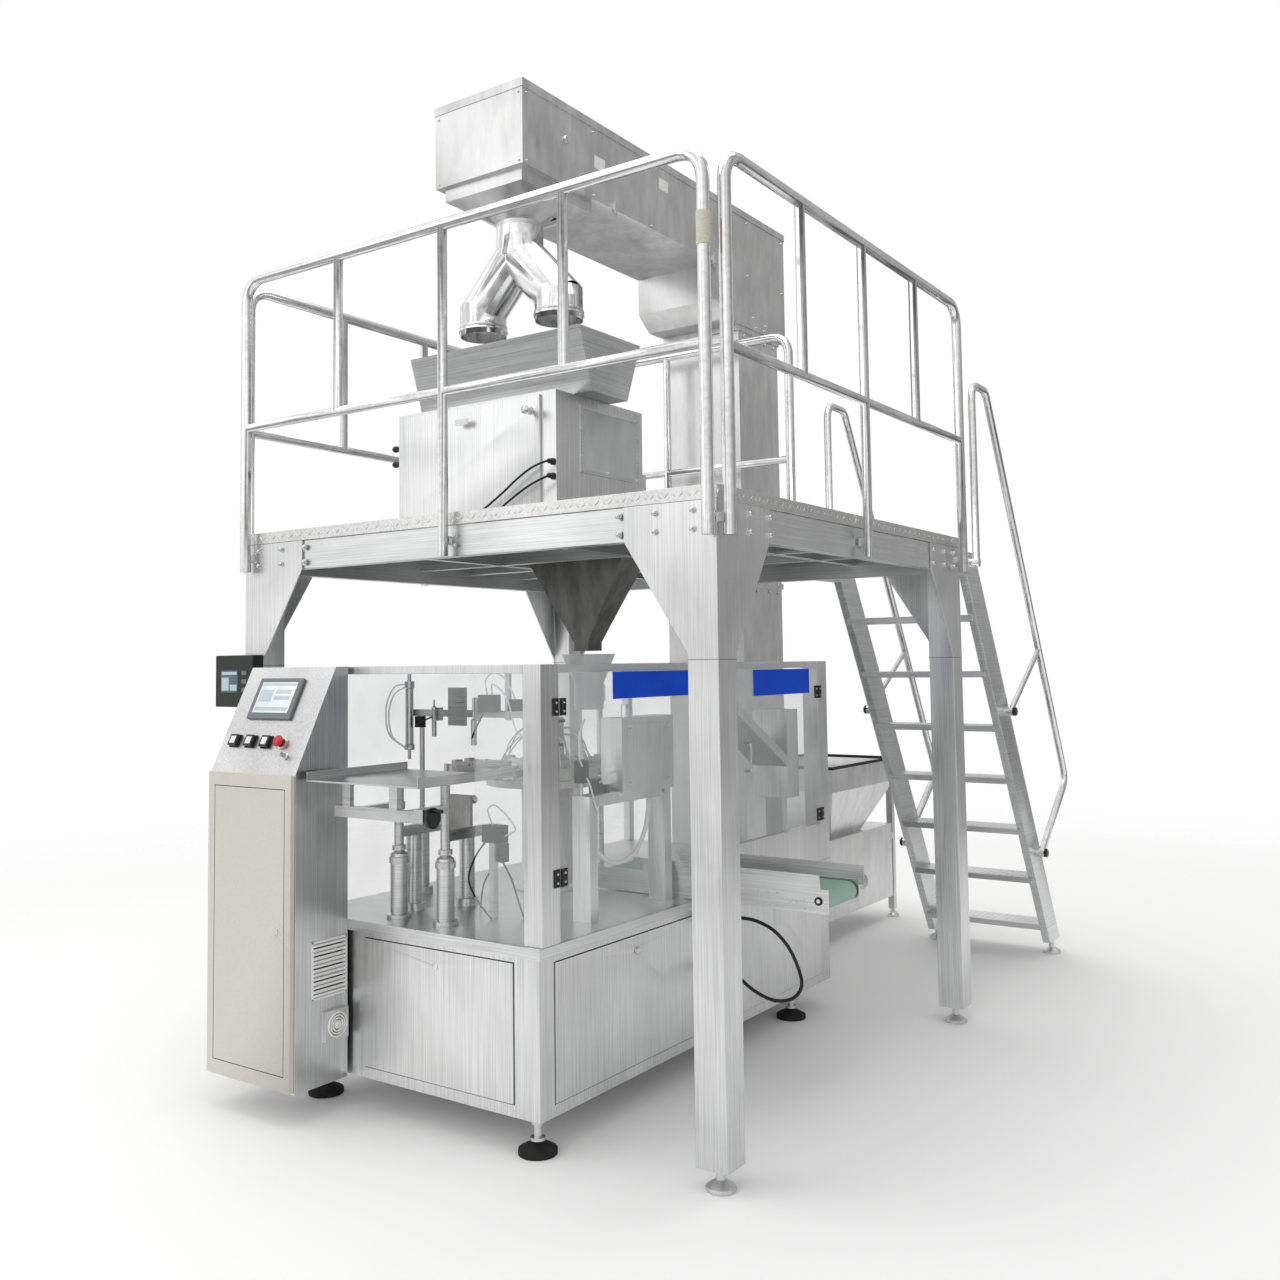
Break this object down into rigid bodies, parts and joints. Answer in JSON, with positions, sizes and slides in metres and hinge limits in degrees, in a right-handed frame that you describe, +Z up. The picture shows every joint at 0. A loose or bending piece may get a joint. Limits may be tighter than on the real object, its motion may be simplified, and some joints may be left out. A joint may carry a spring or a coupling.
{
  "type": "rotary pouch filling and sealing machine",
  "caption": "Rotary pouch filling and sealing machine with guard doors and control cabinet under a railed work platform, weigher, forked duct, bucket elevator, stair and outfeed conveyor.",
  "frame": {"origin": "on the floor, at the centre of the whole footprint", "axes": "+Z up, -Y towards the operator at the control cabinet, +X the way the discharge conveyor leaves; the elevator and the stair are at +Y"},
  "size_m": [2.4656, 4.6276, 4.081],
  "materials": {
    "bag_magazine": "brushed stainless steel sheet and plate",
    "bag_pick_arm": "satin anodised aluminium",
    "base_cabinet": "brushed stainless steel sheet and plate",
    "base_door_front": "brushed stainless steel sheet and plate",
    "base_door_right_front": "brushed stainless steel sheet and plate",
    "base_door_right_rear": "brushed stainless steel sheet and plate",
    "base_foot_front_left": "black rubber",
    "base_foot_front_right": "black rubber",
    "base_foot_rear_left": "black rubber",
    "base_foot_rear_right": "black rubber",
    "carousel_pedestal": "satin anodised aluminium",
    "carousel_turntable": "satin anodised aluminium",
    "control_cabinet": "brushed stainless steel sheet and plate",
    "control_cabinet_door": "beige-grey powder coat",
    "conveyor_belt": "green polyurethane belt",
    "conveyor_drive_roller": "polished stainless steel tube and bar",
    "conveyor_frame": "brushed stainless steel sheet and plate",
    "conveyor_tail_roller": "polished stainless steel tube and bar",
    "discharge_funnel": "brushed stainless steel sheet and plate",
    "elevator_boot": "brushed stainless steel sheet and plate",
    "elevator_column": "brushed stainless steel sheet and plate",
    "elevator_head": "brushed stainless steel sheet and plate",
    "elevator_head_shaft": "polished stainless steel tube and bar",
    "estop_button": "red moulded plastic",
    "fill_funnel": "clear acrylic",
    "guard_door_right_front": "clear acrylic",
    "guard_door_right_rear": "clear acrylic",
    "guard_frame": "satin anodised aluminium",
    "handrail_front": "polished stainless steel tube and bar",
    "handrail_left": "polished stainless steel tube and bar",
    "handrail_rear": "polished stainless steel tube and bar",
    "handrail_right": "polished stainless steel tube and bar",
    "indexing_drive": "grey painted casting",
    "key_switch": "polished stainless steel tube and bar",
    "magazine_handwheel": "black moulded plastic",
    "platform_deck": "embossed stainless tread plate",
    "platform_frame": "brushed stainless steel sheet and plate",
    "platform_leg_front_left": "brushed stainless steel sheet and plate",
    "platform_leg_front_right": "brushed stainless steel sheet and plate",
    "platform_leg_rear_left": "brushed stainless steel sheet and plate",
    "platform_leg_rear_right": "brushed stainless steel sheet and plate",
    "power_cable": "black rubber",
    "push_button_left": "black moulded plastic",
    "push_button_middle": "black moulded plastic",
    "push_button_right": "black moulded plastic",
    "reject_chute": "brushed stainless steel sheet and plate",
    "remote_screen": "black moulded plastic",
    "seal_jaw": "brushed stainless steel sheet and plate",
    "seal_unit": "brushed stainless steel sheet and plate",
    "stair": "brushed stainless steel sheet and plate",
    "stair_rail_left": "polished stainless steel tube and bar",
    "stair_rail_right": "polished stainless steel tube and bar",
    "touch_screen": "display glass in a dark bezel",
    "weigh_bucket_gate": "brushed stainless steel sheet and plate",
    "weigher_cabinet": "brushed stainless steel sheet and plate",
    "weigher_door": "brushed stainless steel sheet and plate",
    "weigher_hopper": "brushed stainless steel sheet and plate",
    "weigher_pans": "polished stainless steel tube and bar",
    "worktop": "brushed stainless steel sheet and plate",
    "y_duct": "polished stainless steel tube and bar"
  },
  "bodies": {
    "machine": {"bag_magazine": "bag_magazine", "base_cabinet": "base_cabinet", "base_foot_front_left": "base_foot_front_left", "base_foot_front_right": "base_foot_front_right", "base_foot_rear_left": "base_foot_rear_left", "base_foot_rear_right": "base_foot_rear_right", "carousel_pedestal": "carousel_pedestal", "control_cabinet": "control_cabinet", "conveyor_belt": "conveyor_belt", "conveyor_frame": "conveyor_frame", "discharge_funnel": "discharge_funnel", "elevator_boot": "elevator_boot", "elevator_column": "elevator_column", "elevator_head": "elevator_head", "guard_frame": "guard_frame", "handrail_front": "handrail_front", "handrail_left": "handrail_left", "handrail_rear": "handrail_rear", "handrail_right": "handrail_right", "indexing_drive": "indexing_drive", "platform_deck": "platform_deck", "platform_frame": "platform_frame", "platform_leg_front_left": "platform_leg_front_left", "platform_leg_front_right": "platform_leg_front_right", "platform_leg_rear_left": "platform_leg_rear_left", "platform_leg_rear_right": "platform_leg_rear_right", "power_cable": "power_cable", "reject_chute": "reject_chute", "remote_screen": "remote_screen", "seal_unit": "seal_unit", "stair": "stair", "stair_rail_left": "stair_rail_left", "stair_rail_right": "stair_rail_right", "touch_screen": "touch_screen", "weigher_cabinet": "weigher_cabinet", "weigher_hopper": "weigher_hopper", "weigher_pans": "weigher_pans", "worktop": "worktop", "y_duct": "y_duct"},
    "base_door_front_body": {"base_door_front": "base_door_front"},
    "base_door_right_front_body": {"base_door_right_front": "base_door_right_front"},
    "base_door_right_rear_body": {"base_door_right_rear": "base_door_right_rear"},
    "guard_door_right_front_body": {"guard_door_right_front": "guard_door_right_front"},
    "guard_door_right_rear_body": {"guard_door_right_rear": "guard_door_right_rear"},
    "control_cabinet_door_body": {"control_cabinet_door": "control_cabinet_door"},
    "push_button_left_body": {"push_button_left": "push_button_left"},
    "push_button_middle_body": {"push_button_middle": "push_button_middle"},
    "push_button_right_body": {"push_button_right": "push_button_right"},
    "estop_button_body": {"estop_button": "estop_button"},
    "key_switch_body": {"key_switch": "key_switch"},
    "carousel_turntable_body": {"carousel_turntable": "carousel_turntable"},
    "magazine_handwheel_body": {"magazine_handwheel": "magazine_handwheel"},
    "bag_pick_arm_body": {"bag_pick_arm": "bag_pick_arm"},
    "fill_funnel_body": {"fill_funnel": "fill_funnel"},
    "seal_jaw_body": {"seal_jaw": "seal_jaw"},
    "conveyor_drive_roller_body": {"conveyor_drive_roller": "conveyor_drive_roller"},
    "conveyor_tail_roller_body": {"conveyor_tail_roller": "conveyor_tail_roller"},
    "weigher_door_body": {"weigher_door": "weigher_door"},
    "weigh_bucket_gate_body": {"weigh_bucket_gate": "weigh_bucket_gate"},
    "elevator_head_shaft_body": {"elevator_head_shaft": "elevator_head_shaft"}
  },
  "joints": [
    {"name": "base_door_front_turn", "type": "hinge", "parent": "machine", "child": "base_door_front_body", "pos_m": [0.40925, -2.0302, 0.165], "axis": [0, 0, 1], "range_deg": [0, 100]},
    {"name": "base_door_right_front_turn", "type": "hinge", "parent": "machine", "child": "base_door_right_front_body", "pos_m": [0.52625, -1.9432, 0.165], "axis": [0, 0, -1], "range_deg": [0, 70]},
    {"name": "base_door_right_rear_turn", "type": "hinge", "parent": "machine", "child": "base_door_right_rear_body", "pos_m": [0.52625, 0.1208, 0.165], "axis": [0, 0, 1], "range_deg": [0, 80]},
    {"name": "guard_door_right_front_turn", "type": "hinge", "parent": "machine", "child": "guard_door_right_front_body", "pos_m": [0.54345, -1.9232, 0.88], "axis": [0, 0, -1], "range_deg": [0, 70]},
    {"name": "guard_door_right_rear_turn", "type": "hinge", "parent": "machine", "child": "guard_door_right_rear_body", "pos_m": [0.54345, 0.1008, 0.88], "axis": [0, 0, 1], "range_deg": [0, 80]},
    {"name": "control_cabinet_door_turn", "type": "hinge", "parent": "machine", "child": "control_cabinet_door_body", "pos_m": [-0.87175, -2.3098, 0.126], "axis": [0, 0, -1], "range_deg": [0, 110]},
    {"name": "push_button_left_slide", "type": "slide", "parent": "machine", "child": "push_button_left_body", "axis": [0, 0.8981, -0.4398], "range_m": [0, 0.005], "stiffness_N_per_m": 400, "springref_m": -0.001},
    {"name": "push_button_middle_slide", "type": "slide", "parent": "machine", "child": "push_button_middle_body", "axis": [0, 0.8981, -0.4398], "range_m": [0, 0.005], "stiffness_N_per_m": 400, "springref_m": -0.001},
    {"name": "push_button_right_slide", "type": "slide", "parent": "machine", "child": "push_button_right_body", "axis": [0, 0.8981, -0.4398], "range_m": [0, 0.005], "stiffness_N_per_m": 400, "springref_m": -0.001},
    {"name": "estop_button_slide", "type": "slide", "parent": "machine", "child": "estop_button_body", "axis": [0, 0.8981, -0.4398], "range_m": [0, 0.006]},
    {"name": "key_switch_turn", "type": "hinge", "parent": "machine", "child": "key_switch_body", "pos_m": [-0.47775, -2.26291, 1.32038], "axis": [0, 0.8981, -0.4398], "range_deg": [0, 90]},
    {"name": "carousel_turntable_turn", "type": "hinge", "parent": "machine", "child": "carousel_turntable_body", "pos_m": [-0.15275, -1.1262, 1.17], "axis": [0, 0, 1], "continuous": true},
    {"name": "magazine_handwheel_turn", "type": "hinge", "parent": "machine", "child": "magazine_handwheel_body", "pos_m": [0.14955, -2.1762, 1.127], "axis": [1, 0, 0], "continuous": true},
    {"name": "bag_pick_arm_turn", "type": "hinge", "parent": "machine", "child": "bag_pick_arm_body", "pos_m": [-0.11775, -1.7262, 1.02], "axis": [1, 0, 0], "range_deg": [-15, 30]},
    {"name": "fill_funnel_slide", "type": "slide", "parent": "machine", "child": "fill_funnel_body", "axis": [0, 0, -1], "range_m": [0, 0.05]},
    {"name": "seal_jaw_slide", "type": "slide", "parent": "machine", "child": "seal_jaw_body", "axis": [-1, 0, 0], "range_m": [0, 0.045]},
    {"name": "conveyor_drive_roller_turn", "type": "hinge", "parent": "machine", "child": "conveyor_drive_roller_body", "pos_m": [1.07725, -1.0332, 0.751], "axis": [0, 1, 0], "continuous": true},
    {"name": "conveyor_tail_roller_turn", "type": "hinge", "parent": "machine", "child": "conveyor_tail_roller_body", "pos_m": [0.08725, -1.0332, 0.751], "axis": [0, 1, 0], "continuous": true},
    {"name": "weigher_door_turn", "type": "hinge", "parent": "machine", "child": "weigher_door_body", "pos_m": [-0.63275, -1.5085, 2.29], "axis": [1, 0, 0], "range_deg": [0, 75]},
    {"name": "weigh_bucket_gate_turn", "type": "hinge", "parent": "machine", "child": "weigh_bucket_gate_body", "pos_m": [-0.23275, -0.6362, 2.301], "axis": [1, 0, 0], "range_deg": [0, 60]},
    {"name": "elevator_head_shaft_turn", "type": "hinge", "parent": "machine", "child": "elevator_head_shaft_body", "pos_m": [-0.47775, -1.1662, 3.92], "axis": [1, 0, 0], "continuous": true}
  ],
  "couplings": [
    {"joint": "conveyor_tail_roller_turn", "follows": "conveyor_drive_roller_turn", "ratio": 1}
  ]
}
